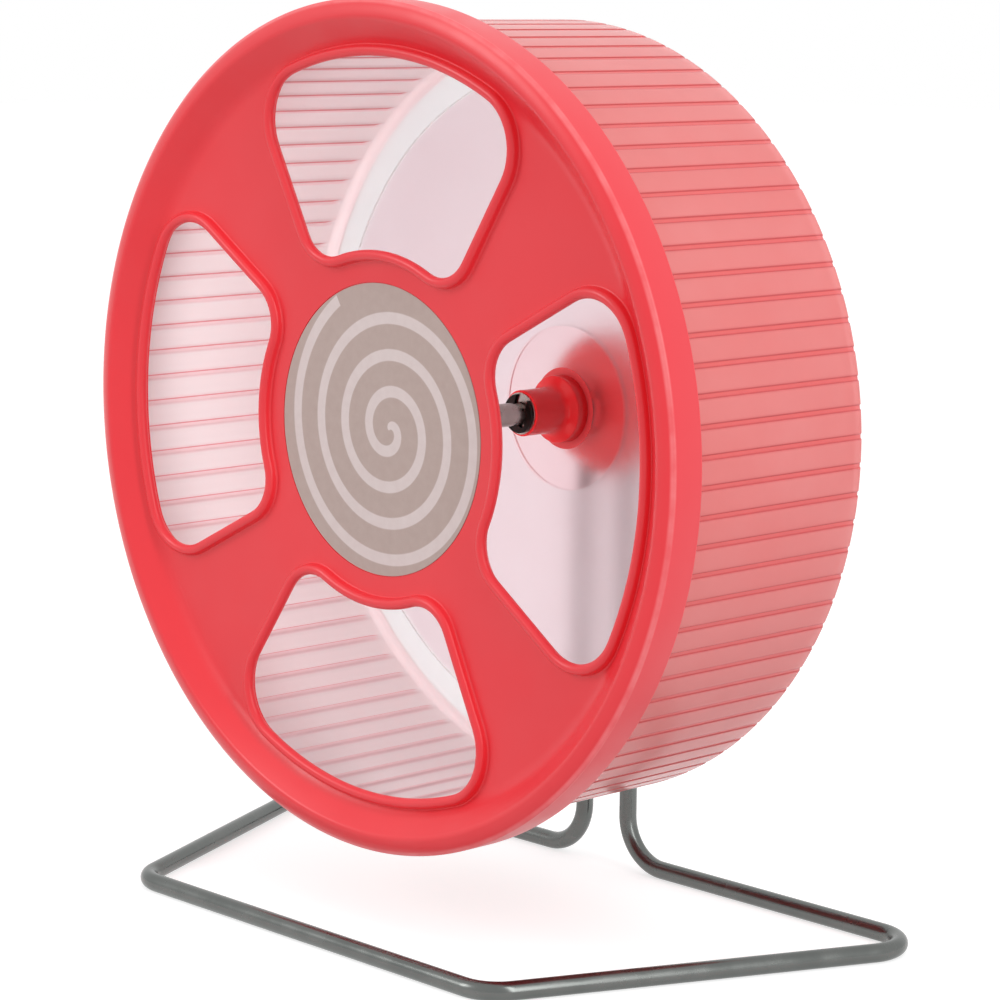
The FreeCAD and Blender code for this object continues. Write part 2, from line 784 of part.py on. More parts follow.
def bracket_screws():
    """Two pan-head screws that close the bracket, one above and one below the axle."""
    body = new_body("bracket_screws")
    body.AllowCompound = True
    point = SCREW_SEAT - dim.screw_length
    head_end = SCREW_SEAT + dim.screw_head_height
    tip = dim.screw_radius / 2
    sketch = sketch_on(body, "screw", "YZ_Plane")
    outline(sketch, [
        (point, dim.screw_spread),
        (point, dim.screw_spread + tip),
        (point + tip, dim.screw_spread + dim.screw_radius),
        (SCREW_SEAT, dim.screw_spread + dim.screw_radius),
        (SCREW_SEAT, dim.screw_spread + SCREW_HEAD),
        (SCREW_SEAT + dim.screw_head_height / 2, dim.screw_spread + SCREW_HEAD),
        (head_end, dim.screw_spread + dim.screw_radius),
        (head_end, dim.screw_spread),
    ])
    screw = feature(body, "Revolution", "screw_turned", sketch)
    screw.ReferenceAxis = (sketch, ["Edge8"])
    screw.Angle = 360
    polar(body, "pair", [screw], as_size(2))
    return body


def bent_path(points, bends):
    """Straight runs through the points, joined by tangent arcs of the given radii at inner points."""
    edges = []
    start = points[0]
    for before, corner, after, radius in zip(points, points[1:], points[2:], bends):
        inwards = (before - corner).normalize()
        outwards = (after - corner).normalize()
        half = inwards.getAngle(outwards) / 2
        reach = radius / math.tan(half)
        bisector = (inwards + outwards).normalize()
        leave = corner + inwards * reach
        rejoin = corner + outwards * reach
        knee = corner + bisector * (radius / math.sin(half) - radius)
        edges.append(Part.LineSegment(start, leave).toShape())
        edges.append(Part.Arc(leave, knee, rejoin).toShape())
        start = rejoin
    edges.append(Part.LineSegment(start, points[-1]).toShape())
    return Part.Wire(edges)


def stand_frame():
    """One bent wire: up from the base on both sides of the middle, round the base by its corners."""
    back = WIRE_PLANE.number
    low = FLOOR.number
    right_half = [
        V(UPRIGHT_SPREAD.number, back, dim.upright_top.number),
        V(UPRIGHT_SPREAD.number, back, low),
        V(dim.rear_half_width.number, back, low),
        V(dim.front_half_width.number, -dim.front_reach.number, low),
    ]
    left_half = [V(-p.x, p.y, p.z) for p in reversed(right_half)]
    corner = dim.corner_bend.number
    bends = [dim.foot_bend.number, corner, corner, corner, corner, dim.foot_bend.number]
    path = DOC.addObject("Part::Feature", "stand_path")
    path.Shape = bent_path(right_half + left_half, bends)
    section = DOC.addObject("Part::Circle", "stand_section")
    section.setExpression("Radius", dim.wire_radius.formula)
    section.setExpression("Placement.Base.x", UPRIGHT_SPREAD.formula)
    section.setExpression("Placement.Base.y", WIRE_PLANE.formula)
    section.setExpression("Placement.Base.z", dim.upright_top.formula)
    wire = DOC.addObject("Part::Sweep", "stand_frame")
    wire.Label = "stand_frame"
    wire.Sections = [section]
    wire.Spine = (path, [f"Edge{n}" for n in range(1, len(path.Shape.Edges) + 1)])
    wire.Solid = True
    wire.Frenet = True
    place(wire)
    DOC.recompute()
    expected = math.pi * dim.wire_radius.number ** 2 * path.Shape.Length
    print(f"wire volume {wire.Shape.Volume:.0f}, section times length {expected:.0f}")
    return wire


def check_document(pieces):
    """Stop if any object failed to compute or any piece has no valid solid."""
    for item in DOC.Objects:
        if "Invalid" in item.State or "Error" in item.State:
            raise RuntimeError(f"{item.Name} failed: {item.State}")
    for piece in pieces:
        if piece.Shape.isNull() or not piece.Shape.isValid() or not piece.Shape.Solids:
            raise RuntimeError(f"{piece.Label} has no valid solid")


def main():
    pieces = [
        stand_frame(),
        axle_bracket(),
        bracket_cover(),
        bracket_screws(),
        axle(),
        washer("thrust_washer", THRUST_FRONT, dim.thrust_thickness, THRUST_WASHER),
        retaining_clip(),
        washer("clip_washer", WASHER_FRONT, dim.washer_thickness, dim.axle_radius + dim.washer_rim),
        drum(),
        front_disc(),
        hub_sleeve(),
        hub_lock_ring(),
        rear_bush(),
        front_bush(),
        hub_label(),
    ]
    DOC.recompute()
    check_document(pieces)
    os.makedirs("parts", exist_ok=True)
    for piece in pieces:
        piece.Shape.exportStep(f"parts/{piece.Label}.step")
        box = piece.Shape.BoundBox
        print(f"{piece.Label}: {len(piece.Shape.Solids)} solid(s), volume {piece.Shape.Volume:.1f},"
              f" x {box.XMin:.2f}..{box.XMax:.2f}, y {box.YMin:.2f}..{box.YMax:.2f},"
              f" z {box.ZMin:.2f}..{box.ZMax:.2f}")


main()
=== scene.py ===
"""Looks of a rodent exercise wheel on a bent wire stand, in metres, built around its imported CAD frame.

Wheel pieces are drawn by radius from the axle, depth behind the rim's front edge and angle, which is
counted from +X towards +Z, so it runs anticlockwise for someone who looks at the front disc.
"""
import json
import math

import bmesh
import bpy
from mathutils import Matrix, Vector
from mathutils.geometry import delaunay_2d_cdt
from mathutils.kdtree import KDTree


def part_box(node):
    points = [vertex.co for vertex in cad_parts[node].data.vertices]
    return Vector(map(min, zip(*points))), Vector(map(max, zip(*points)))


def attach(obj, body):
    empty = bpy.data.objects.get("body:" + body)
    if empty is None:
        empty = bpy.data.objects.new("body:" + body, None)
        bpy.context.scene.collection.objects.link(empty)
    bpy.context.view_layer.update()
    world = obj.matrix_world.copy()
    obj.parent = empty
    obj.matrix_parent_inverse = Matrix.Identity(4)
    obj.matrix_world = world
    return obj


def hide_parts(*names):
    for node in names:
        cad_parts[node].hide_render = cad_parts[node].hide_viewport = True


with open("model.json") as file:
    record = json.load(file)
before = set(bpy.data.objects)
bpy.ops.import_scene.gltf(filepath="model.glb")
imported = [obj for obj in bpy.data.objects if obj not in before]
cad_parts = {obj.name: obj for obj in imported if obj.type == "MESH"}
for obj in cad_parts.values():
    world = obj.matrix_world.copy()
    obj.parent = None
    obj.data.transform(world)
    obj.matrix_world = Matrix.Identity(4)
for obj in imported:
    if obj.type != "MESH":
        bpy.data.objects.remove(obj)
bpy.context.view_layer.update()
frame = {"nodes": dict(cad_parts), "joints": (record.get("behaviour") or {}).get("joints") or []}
MM = 0.001

# Places taken from the frame
AXLE = Vector(frame["joints"][0]["pos_m"])
DISC_LOW, DISC_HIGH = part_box("front_disc")
DRUM_LOW, DRUM_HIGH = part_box("drum")
LABEL_LOW, LABEL_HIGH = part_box("hub_label")
SLEEVE_LOW, SLEEVE_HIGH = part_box("hub_sleeve")
WIRE_LOW, WIRE_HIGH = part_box("stand_frame")
FRONT = DISC_LOW.y

# Front disc
RIM = DISC_HIGH.x
RIM_CREST = 6.2 * MM
RIM_FALL = 2.0 * MM
RIM_EDGE_ROUND = 0.6 * MM
RIM_INNER_ROUND = 2.2 * MM
SLOPE_WIDTH = 8.3 * MM
SLOPE_FOOT_ROUND = 7.0 * MM
FACE_RECESS = 7.8 * MM
SKIRT_WALL = 2.2 * MM
CHANNEL_DEPTH = 4.6 * MM
SEAT_WALL = 2.0 * MM
SEAT_HEIGHT = 4.2 * MM
SKIRT_LAP = 1.0 * MM
SEAT_LAND = 2.4 * MM
SEAT_RISE = 3.6 * MM
SEAT_GAP = 0.15 * MM
SNAP_HEIGHT = 0.5 * MM
SNAP_RISE = 2.3 * MM
SNAP_WIDTH = 1.6 * MM
DISC_WALL = 1.6 * MM
BOSS_RADIUS = 9.0 * MM
BOSS_BORE = 6.07 * MM
LABEL_GAP = 0.3 * MM
WHEEL_TURN = math.radians(3.4)
CREST = RIM - RIM_CREST
SLOPE_FOOT = CREST - SLOPE_WIDTH
LABEL_RADIUS = LABEL_HIGH.x
HUB_FACE = LABEL_LOW.y - FRONT
LABEL_SEAT = LABEL_HIGH.y - FRONT
HUB_BACK = LABEL_SEAT + DISC_WALL
BOSS_END = DISC_HIGH.y - FRONT
DISH_SLOPE = (HUB_FACE - FACE_RECESS) / (SLOPE_FOOT - LABEL_RADIUS)
RIM_SLOPE = FACE_RECESS / SLOPE_WIDTH
PLATE_RIM = SLOPE_FOOT + 3.5 * MM
PLATE_COUNT = 360

# Painted sheen on the skirt and painted highlight at the rim's corner: distances in from its edge, the last
# behind its corner
SKIRT_SHEEN_START = 0.9 * MM
SKIRT_SHEEN_END = 0.1 * MM
HIGHLIGHT_START = 1.8 * MM
HIGHLIGHT_FULL = 0.8 * MM
HIGHLIGHT_FADE = 0.8 * MM

# Openings and the round lip along each
OPENING_COUNT = 4
OPENING_OUTER = SLOPE_FOOT - 3.9 * MM
OPENING_INNER = LABEL_RADIUS + 10.9 * MM
OPENING_HALF_ANGLE = math.radians(30.4)
OPENING_SIDE_SHIFT = 2.3 * MM
OUTER_CORNER = 16.6 * MM
INNER_CORNER = 13.3 * MM
LIP_RADIUS = 1.8 * MM
LIP_RISE = 1.3 * MM
LIP_FOOT = 0.6 * MM

# Drum
DRUM_RADIUS = DRUM_HIGH.x - SNAP_HEIGHT
DRUM_INNER = DRUM_RADIUS - 2.0 * MM
DRUM_FRONT = DRUM_LOW.y - FRONT
PAD_FACE = DRUM_HIGH.y - FRONT
DRUM_BACK = PAD_FACE - 0.8 * MM
DRUM_FLOOR = DRUM_BACK - 2.6 * MM
REAR_STEP = 0.4 * MM
STEP_RADIUS = DRUM_INNER - 13.8 * MM
PAD_RADIUS = 28.6 * MM
LOCK_SHOWN = 14.2 * MM
HUB_HOLE = 8.35 * MM
MIDDLE_RING = 80.0 * MM
DRUM_EDGE = 0.3 * MM
REAR_ROUND = 3.0 * MM
INNER_ROUND = 2.4 * MM
CORNER_WIDTH = 3.8 * MM
STEP_BLUR = 0.5 * MM
GROOVE_DEPTH = 0.3 * MM
GROOVE_END_SHARE = 0.4
GROOVE_RUNOUT = 1.5 * MM
RIB_COUNT = 90
RIB_HEIGHT = 0.9 * MM
RIB_SETBACK = 3.0 * MM
RIB_RUNOUT = 8.0 * MM
RIB_START = math.radians(90)
RIB_PITCH = 2 * math.pi / RIB_COUNT
# Half of a rib: distance from its middle in mm, share of the rib's height, share of the outer groove
RIB_HALF = ((0.3, 0.98, 1.0), (0.6, 0.85, 1.0), (0.75, 0.7, 0.6), (0.9, 0.5, 0.12), (1.15, 0.2, 0.0),
            (1.5, 0.0, 0.0), (3.2, 0.0, 0.0))

# Hub sleeve; its flare is measured forward from the drum's rear wall
SLEEVE_RADIUS = 7.95 * MM
SLEEVE_AXLE_BORE = 4.1 * MM
SLEEVE_BUSH_BORE = 5.67 * MM
SLEEVE_FRONT_WALL = 1.6 * MM
SLEEVE_FRONT_ROUND = 0.5 * MM
FLARE_START = 6.4 * MM
FLARE_END = 4.2 * MM
FLARE_ROUND = 3.0 * MM
COLLAR_ROUND = 0.8 * MM
COLLAR_FOOT_ROUND = 0.2 * MM
SPIGOT_RADIUS = 8.2 * MM

# Stand
WIRE_RADIUS = 3.1 * MM
WIRE_SIDES = 32
UPRIGHT_SPREAD = 10.8 * MM
REAR_HALF_WIDTH = 149.98 * MM
FRONT_HALF_WIDTH = 86.9 * MM
FOOT_BEND = 17.0 * MM
CORNER_BEND = 14.0 * MM
BEND_STEP = math.radians(4)

# Spiral printed on the label
SPIRAL_ASIDE = 4.9 * MM
SPIRAL_ABOVE = 0.4 * MM
SPIRAL_PITCH = 12.07 * MM
SPIRAL_BAND = 3.9 * MM
SPIRAL_BLUR = 0.25 * MM
SPIRAL_START = math.radians(111.1)
SPIRAL_TURNS = 3.97

# Studio
PLAIN_LIGHT = 0.8
FLOOR_REACH = 6.0
FLOOR_SHADE = 0.55
FLOOR_GLOW = 0.67

SHARP_EDGE = math.radians(38)
ROUND_STEP = math.radians(12)
QUARTER_TURN = math.radians(90)
# Range that most values of a noise texture lie in
NOISE_LOW = 0.3
NOISE_HIGH = 0.7


def on_wheel(radius, depth, angle):
    return Vector((radius * math.cos(angle), FRONT + depth, AXLE.z + radius * math.sin(angle)))


def swept(start, end, steps):
    """Even values from the start up to the last one before the end."""
    return [start + (end - start) * i / steps for i in range(steps)]


def turned_by(point, angle):
    return Matrix.Rotation(angle, 2) @ point


def circle(radius, count):
    """Even points of a flat circle."""
    return [turned_by(Vector((radius, 0)), angle) for angle in swept(0, 2 * math.pi, count)]


def srgb(red, green, blue):
    """Linear colour of an 8-bit sRGB one."""
    def linear(value):
        value /= 255
        return value / 12.92 if value <= 0.04045 else ((value + 0.055) / 1.055) ** 2.4
    return linear(red), linear(green), linear(blue), 1.0


class Shell:
    """One closed surface, put together from rings of vertices."""

    def __init__(self):
        self.points = []
        self.faces = []
        self.marks = []

    def ring(self, points):
        start = len(self.points)
        self.points.extend(points)
        return list(range(start, len(self.points)))

    def face(self, corners, mark=0):
        self.faces.append(corners)
        self.marks.append(mark)

    def bridge(self, first, second, mark=0):
        """Join two closed rings; the longer one has a whole multiple of the other's vertices."""
        fine, coarse = (first, second) if len(first) >= len(second) else (second, first)
        if len(coarse) == 1:
            for a, b in zip(fine, fine[1:] + fine[:1]):
                self.face((a, b, coarse[0]), mark)
            return
        step = len(fine) // len(coarse)
        for i, corner in enumerate(coarse):
            run = [fine[(i * step + j) % len(fine)] for j in range(step + 1)]
            self.face(run + [coarse[(i + 1) % len(coarse)], corner], mark)

    def bridge_all(self, rings, mark=0):
        for first, second in zip(rings, rings[1:]):
            self.bridge(first, second, mark)

    def make(self, name, *materials):
        """New object; each face takes the material at the place that its mark gives."""
        mesh = bpy.data.meshes.new(name)
        mesh.from_pydata(self.points, [], self.faces)
        for material in materials:
            mesh.materials.append(material)
        mesh.polygons.foreach_set("material_index", self.marks)
        form = bmesh.new()
        form.from_mesh(mesh)
        bmesh.ops.recalc_face_normals(form, faces=form.faces)
        form.to_mesh(mesh)
        form.free()
        mesh.shade_smooth()
        mesh.set_sharp_from_angle(angle=SHARP_EDGE)
        made = bpy.data.objects.new(name, mesh)
        bpy.context.scene.collection.objects.link(made)
        return made


def rounded(corners):
    """Outline of (x, y) corners, where a third number rounds the corner by that radius."""
    places = [Vector(corner[:2]) for corner in corners]
    outline = []
    for corner, before, here, after in zip(corners, places[-1:] + places, places, places[1:] + places[:1]):
        if len(corner) == 2:
            outline.append(here)
            continue
        to_before = (before - here).normalized()
        to_after = (after - here).normalized()
        half = to_before.angle(to_after) / 2
        centre = here + (to_before + to_after).normalized() * (corner[2] / math.sin(half))
        start = here + to_before * (corner[2] / math.tan(half)) - centre
        turn = start.angle_signed(here + to_after * (corner[2] / math.tan(half)) - centre)
        steps = max(2, math.ceil(abs(turn) / ROUND_STEP))
        outline.extend(centre + Matrix.Rotation(-turn * i / steps, 2) @ start for i in range(steps + 1))
    return outline


def wheel_ring(shell, radius, depth, count):
    """Ring of vertices about the axle, or the one vertex on it where the radius is zero."""
    if radius == 0:
        return shell.ring([on_wheel(0, depth, 0)])
    return shell.ring([on_wheel(radius, depth, angle) for angle in swept(0, 2 * math.pi, count)])


def lathe(name, corners, material, count):
    """Closed solid turned about the axle from an outline of (radius, depth) corners."""
    shell = Shell()
    rings = [wheel_ring(shell, r, d, count) for r, d in rounded(corners)]
    shell.bridge_all(rings)
    if len(rings[0]) > 1:
        shell.bridge(rings[-1], rings[0])
    return shell.make(name, material)


class Paint:
    """A Principled material with short ways to add nodes to it."""

    def __init__(self, name, **settings):
        self.material = bpy.data.materials.new(name)
        self.material.use_nodes = True
        self.nodes = self.material.node_tree.nodes
        self.shader = self.nodes["Principled BSDF"]
        self.set(**settings)
        self.place = self.node("TexCoord").outputs["Object"]

    def set(self, **settings):
        """Feed the shader's sockets, each named by its words with an underscore between."""
        for words, value in settings.items():
            self.feed(self.shader.inputs[words.replace("_", " ")], value)

    def feed(self, socket, value):
        if isinstance(value, bpy.types.NodeSocket):
            self.material.node_tree.links.new(value, socket)
        else:
            socket.default_value = value

    def node(self, kind, *values, **settings):
        """New node whose first sockets take the values and whose properties take the settings."""
        made = self.nodes.new(f"ShaderNode{kind}")
        for key, value in settings.items():
            setattr(made, key, value)
        for socket, value in zip(made.inputs, values):
            self.feed(socket, value)
        return made

    def math(self, operation, *values):
        return self.node("Math", *values, operation=operation).outputs[0]

    def between(self, value, low, high, out_low, out_high):
        """Value carried from one range to another, held at the ends, with a smooth start and stop."""
        made = self.node("MapRange", interpolation_type="SMOOTHSTEP")
        for socket, number in zip(made.inputs, (value, low, high, out_low, out_high)):
            self.feed(socket, number)
        return made.outputs[0]

    def noise(self, scale, detail=3.0):
        made = self.node("TexNoise")
        self.feed(made.inputs["Vector"], self.place)
        self.feed(made.inputs["Scale"], scale)
        self.feed(made.inputs["Detail"], detail)
        return made.outputs["Fac"]

    def ramp(self, factor, *stops):
        """Colour along a factor; each stop is a place and an 8-bit sRGB colour."""
        made = self.node("ValToRGB", factor)
        elements = made.color_ramp.elements
        while len(elements) < len(stops):
            elements.new(1.0)
        for element, (place, colour) in zip(elements, stops):
            element.position = place
            element.color = srgb(*colour)
        return made.outputs["Color"]

    def mottle(self, noise, dark, light):
        """Colour that drifts between two 8-bit sRGB ones with a noise."""
        return self.ramp(noise, (NOISE_LOW, dark), (NOISE_HIGH, light))

    def vary(self, noise, low, high):
        """Number that drifts between two with a noise."""
        return self.between(noise, NOISE_LOW, NOISE_HIGH, low, high)

    def blend(self, factor, first, second):
        made = self.node("Mix", data_type="RGBA")
        self.feed(made.inputs["Factor"], factor)
        self.feed(made.inputs["A"], first)
        self.feed(made.inputs["B"], second)
        return made.outputs["Result"]

    def bump(self, height, depth, strength):
        made = self.node("Bump")
        self.feed(made.inputs["Height"], height)
        self.feed(made.inputs["Distance"], depth)
        self.feed(made.inputs["Strength"], strength)
        self.set(Normal=made.outputs["Normal"])

    def polar(self, aside=0.0, above=0.0):
        """Radius from the axle and angle about it, or from a point to the right of it and above it."""
        parts = self.node("SeparateXYZ", self.place).outputs
        across = self.math("SUBTRACT", parts["X"], aside)
        height = self.math("SUBTRACT", parts["Z"], AXLE.z + above)
        radius = self.math("SQRT", self.math("ADD", self.math("MULTIPLY", across, across),
                                             self.math("MULTIPLY", height, height)))
        return radius, self.math("ARCTAN2", height, across)

    def depth(self):
        """Depth behind the rim's front edge."""
        return self.math("SUBTRACT", self.node("SeparateXYZ", self.place).outputs["Y"], FRONT)

    def rib_place(self):
        """Place between ribs in pitches: 0.5 at the middle of a rib, 0 and 1 halfway to the next ones."""
        angle = self.polar()[1]
        turns = self.math("DIVIDE", self.math("SUBTRACT", angle, RIB_START), RIB_PITCH)
        return self.math("WRAP", self.math("ADD", turns, 0.5), 1.0, 0.0)

    def rib_distance(self):
        """Distance from the middle of the nearest rib, from 0 to half a pitch, in pitches."""
        return self.math("ABSOLUTE", self.math("SUBTRACT", self.rib_place(), 0.5))


def disc_plastic():
    """Coral-red moulding with a satin face, a skirt painted paler as sheen, and a painted highlight along
    the rim's corner.
    """
    paint = Paint("disc_plastic", IOR=1.47)
    cloud = paint.noise(14, 4)
    face = paint.mottle(cloud, (236, 48, 58), (241, 54, 63))
    # Painted sheen: the skirt is painted paler than the face for the light it catches
    skirt_sheen = paint.mottle(cloud, (240, 65, 75), (244, 71, 80))
    # Painted highlight: a pale line along the rim's corner
    painted_highlight = paint.mottle(paint.noise(120, 4), (246, 92, 98), (251, 122, 126))
    radius = paint.polar()[0]
    on_skirt = paint.between(radius, RIM - SKIRT_SHEEN_START, RIM - SKIRT_SHEEN_END, 0.0, 1.0)
    near_corner = paint.between(radius, RIM - HIGHLIGHT_START, RIM - HIGHLIGHT_FULL, 0.0, 1.0)
    on_land = paint.between(paint.depth(), RIM_FALL, RIM_FALL + HIGHLIGHT_FADE, 1.0, 0.0)
    face_and_sheen = paint.blend(on_skirt, face, skirt_sheen)
    paint.set(Base_Color=paint.blend(paint.math("MULTIPLY", near_corner, on_land), face_and_sheen, painted_highlight))
    paint.set(Roughness=paint.vary(paint.noise(60), 0.3, 0.38))
    paint.bump(paint.noise(1800, 2), 0.01 * MM, 0.5)
    return paint.material


def drum_outside():
    """Tinted drum wall from outside: paler between the ribs, with painted shade as a darker line along each
    rib's sides.
    """
    paint = Paint("drum_outside", Roughness=0.22, IOR=1.33, Transmission_Weight=0.28)
    distance = paint.rib_distance()
    flat = paint.mottle(paint.noise(30, 4), (252, 138, 136), (254, 148, 146))
    # Painted shade: the dark stop is the shade along the groove walls at each rib's sides
    rib = paint.ramp(distance, (0.0, (254, 120, 120)), (0.055, (254, 114, 114)), (0.085, (214, 80, 82)),
                     (0.115, (249, 128, 128)), (0.2, (253, 143, 142)))
    paint.set(Base_Color=paint.blend(paint.between(distance, 0.1, 0.2, 0.0, 1.0), rib, flat))
    paint.bump(paint.noise(260, 3), 0.03 * MM, 0.5)
    return paint.material


def drum_inside():
    """Tinted drum wall from inside: pale and milky, pinker where it thickens into a rib, with painted shade
    as a dark line on one side of each rib.
    """
    paint = Paint("drum_inside", Roughness=0.45, IOR=1.4, Transmission_Weight=0.18)
    clear = (247, 245, 246)
    band = (248, 226, 229)
    # Painted shade: the dark stop is the shaded flank on one side of each rib
    ribbed_and_shade = paint.ramp(paint.rib_place(), (0.3, clear), (0.4, (248, 238, 239)), (0.43, (226, 110, 118)),
                        (0.46, band), (0.58, band), (0.7, clear))
    fade = paint.between(paint.depth(), DRUM_FLOOR - RIB_RUNOUT, DRUM_FLOOR - INNER_ROUND, 0.0, 1.0)
    paint.set(Base_Color=paint.blend(fade, ribbed_and_shade, srgb(*clear)))
    paint.bump(paint.noise(600, 2), 0.02 * MM, 0.5)
    return paint.material


def rear_wall_plastic():
    """Flat rear wall, clear enough to show what is behind it as a blur, with a whiter band round it."""
    paint = Paint("rear_wall_plastic", IOR=1.4, Roughness=0.47, Transmission_Weight=0.96)
    cloud = paint.noise(20, 4)
    middle = paint.mottle(cloud, (236, 216, 221), (239, 221, 226))
    band = paint.mottle(cloud, (242, 239, 241), (245, 243, 244))
    on_band = paint.between(paint.polar()[0], STEP_RADIUS - STEP_BLUR, STEP_RADIUS + STEP_BLUR, 0.0, 1.0)
    paint.set(Base_Color=paint.blend(on_band, middle, band))
    return paint.material


def rear_pad_plastic():
    """Polished pad round the hub, the clearest part of the rear wall."""
    paint = Paint("rear_pad_plastic", IOR=1.4, Roughness=0.3, Transmission_Weight=0.97)
    paint.set(Base_Color=paint.mottle(paint.noise(30, 4), (232, 200, 206), (235, 206, 211)))
    return paint.material


def rear_corner_plastic():
    """Milky corner between the rear wall and the drum's ribbed wall."""
    paint = Paint("rear_corner_plastic", IOR=1.4, Roughness=0.4, Transmission_Weight=0.1)
    paint.set(Base_Color=paint.mottle(paint.noise(40, 4), (249, 246, 248), (252, 250, 251)))
    return paint.material


def label_print():
    """Taupe label with a pale spiral printed on it."""
    paint = Paint("label_print", Roughness=0.45, IOR=1.45)
    radius, angle = paint.polar(SPIRAL_ASIDE, SPIRAL_ABOVE)
    turns = paint.math("DIVIDE", radius, SPIRAL_PITCH)
    wound = paint.math("DIVIDE", paint.math("SUBTRACT", SPIRAL_START, angle), 2 * math.pi)
    lag = paint.math("SUBTRACT", turns, wound)
    across = paint.math("SUBTRACT", lag, paint.math("ROUND", lag))
    along = paint.math("SUBTRACT", turns, across)
    edge = SPIRAL_BLUR / SPIRAL_PITCH
    half = SPIRAL_BAND / SPIRAL_PITCH / 2
    band = paint.between(paint.math("ABSOLUTE", across), half - edge, half + edge, 1.0, 0.0)
    inked = paint.math("MULTIPLY", band, paint.math("LESS_THAN", along, SPIRAL_TURNS))
    cloud = paint.noise(300, 4)
    ground = paint.mottle(cloud, (183, 161, 154), (188, 167, 160))
    line = paint.mottle(cloud, (218, 201, 199), (223, 207, 205))
    paint.set(Base_Color=paint.blend(inked, ground, line))
    return paint.material


def hub_plastic():
    """Glossy deep red moulding of the hub and the bracket."""
    paint = Paint("hub_plastic", IOR=1.35, Coat_Weight=0.1, Coat_Roughness=0.08)
    paint.set(Base_Color=paint.mottle(paint.noise(60, 4), (198, 24, 30), (206, 31, 36)))
    paint.set(Roughness=paint.vary(paint.noise(220), 0.18, 0.26))
    paint.bump(paint.noise(1500, 2), 0.008 * MM, 0.4)
    return paint.material


def lock_ring_painted_light():
    """Red of the lock ring as it shows through the clear pad that it is pressed against, painted lit where
    it lies in shade.
    """
    paint = Paint("lock_ring_painted_light", IOR=1.4, Roughness=0.45)
    paint.set(Base_Color=paint.mottle(paint.noise(60, 4), (186, 50, 55), (194, 58, 62)))
    return paint.material


def bush_nylon():
    """Waxy off-white bearing plastic."""
    paint = Paint("bush_nylon", IOR=1.5)
    paint.set(Base_Color=paint.mottle(paint.noise(200), (228, 226, 218), (236, 234, 228)))
    paint.set(Roughness=paint.vary(paint.noise(500), 0.4, 0.5))
    return paint.material


def steel(name, dark, light, roughness, grain):
    """Metal whose colour and gloss vary a little from place to place."""
    paint = Paint(name, Metallic=1.0)
    cloud = paint.noise(grain, 4)
    paint.set(Base_Color=paint.mottle(cloud, dark, light))
    paint.set(Roughness=paint.vary(cloud, roughness, roughness + 0.1))
    paint.bump(paint.noise(grain * 6, 2), 0.01 * MM, 0.1)
    return paint.material


def dish_depth(radius):
    """Depth of the plain dished face, which sinks towards the hub."""
    return FACE_RECESS + DISH_SLOPE * (SLOPE_FOOT - radius)


def face_depth(radius):
    """Depth of the disc's front: the dished face, a hollow round, then the slope up to the rim."""
    tilt = math.atan(DISH_SLOPE)
    steep = math.atan(RIM_SLOPE)
    reach = SLOPE_FOOT_ROUND * math.tan((steep - tilt) / 2)
    start = SLOPE_FOOT - reach * math.cos(tilt)
    if radius <= start:
        return dish_depth(radius)
    if radius >= SLOPE_FOOT + reach * math.cos(steep):
        return (CREST - radius) * RIM_SLOPE
    middle = start - SLOPE_FOOT_ROUND * math.sin(tilt)
    front = dish_depth(start) - SLOPE_FOOT_ROUND * math.cos(tilt)
    return front + math.sqrt(SLOPE_FOOT_ROUND ** 2 - (radius - middle) ** 2)


def back_depth(radius):
    """Depth of the disc's back, one wall behind the dished face and the slope."""
    behind_slope = (CREST - radius) * RIM_SLOPE + DISC_WALL * math.hypot(1, RIM_SLOPE)
    share = (SLOPE_FOOT - radius) / (SLOPE_FOOT - BOSS_RADIUS)
    outer = FACE_RECESS + DISC_WALL
    return min(behind_slope, outer + (HUB_BACK - outer) * share)


def opening_outline():
    """Points round an upright opening, each with its outward direction."""
    along = Vector((math.sin(OPENING_HALF_ANGLE), math.cos(OPENING_HALF_ANGLE)))
    across = Vector((along.y, -along.x))

    def corner_centre(reach, radius):
        aside = radius - OPENING_SIDE_SHIFT
        return along * math.sqrt(reach ** 2 - aside ** 2) - across * aside

    def arc(centre, radius, start, end, steps):
        """Arc from one heading to the next; headings run clockwise from straight up."""
        for heading in swept(start, end, steps):
            normal = Vector((math.sin(heading), math.cos(heading)))
            yield centre + normal * radius, normal

    outer = corner_centre(OPENING_OUTER - OUTER_CORNER, OUTER_CORNER)
    inner = corner_centre(OPENING_INNER + INNER_CORNER, INNER_CORNER)
    outer_heading = math.atan2(outer.x, outer.y)
    inner_heading = math.atan2(inner.x, inner.y)
    side_heading = math.atan2(across.x, across.y)
    axle = Vector((0, 0))
    side = swept(outer + across * OUTER_CORNER, inner + across * INNER_CORNER, steps=14)
    half = list(arc(axle, OPENING_OUTER, 0, outer_heading, steps=20))
    half += arc(outer, OUTER_CORNER, outer_heading, side_heading, steps=14)
    half += [(point, across) for point in side]
    half += arc(inner, INNER_CORNER, side_heading, math.pi + inner_heading, steps=10)
    half += [(point, -normal) for point, normal in arc(axle, OPENING_INNER, inner_heading, 0, steps=8)]
    bottom = (Vector((0, OPENING_INNER)), Vector((0, -1)))
    mirrored = [(Vector((-p.x, p.y)), Vector((-n.x, n.y))) for p, n in reversed(half[1:])]
    return half + [bottom] + mirrored


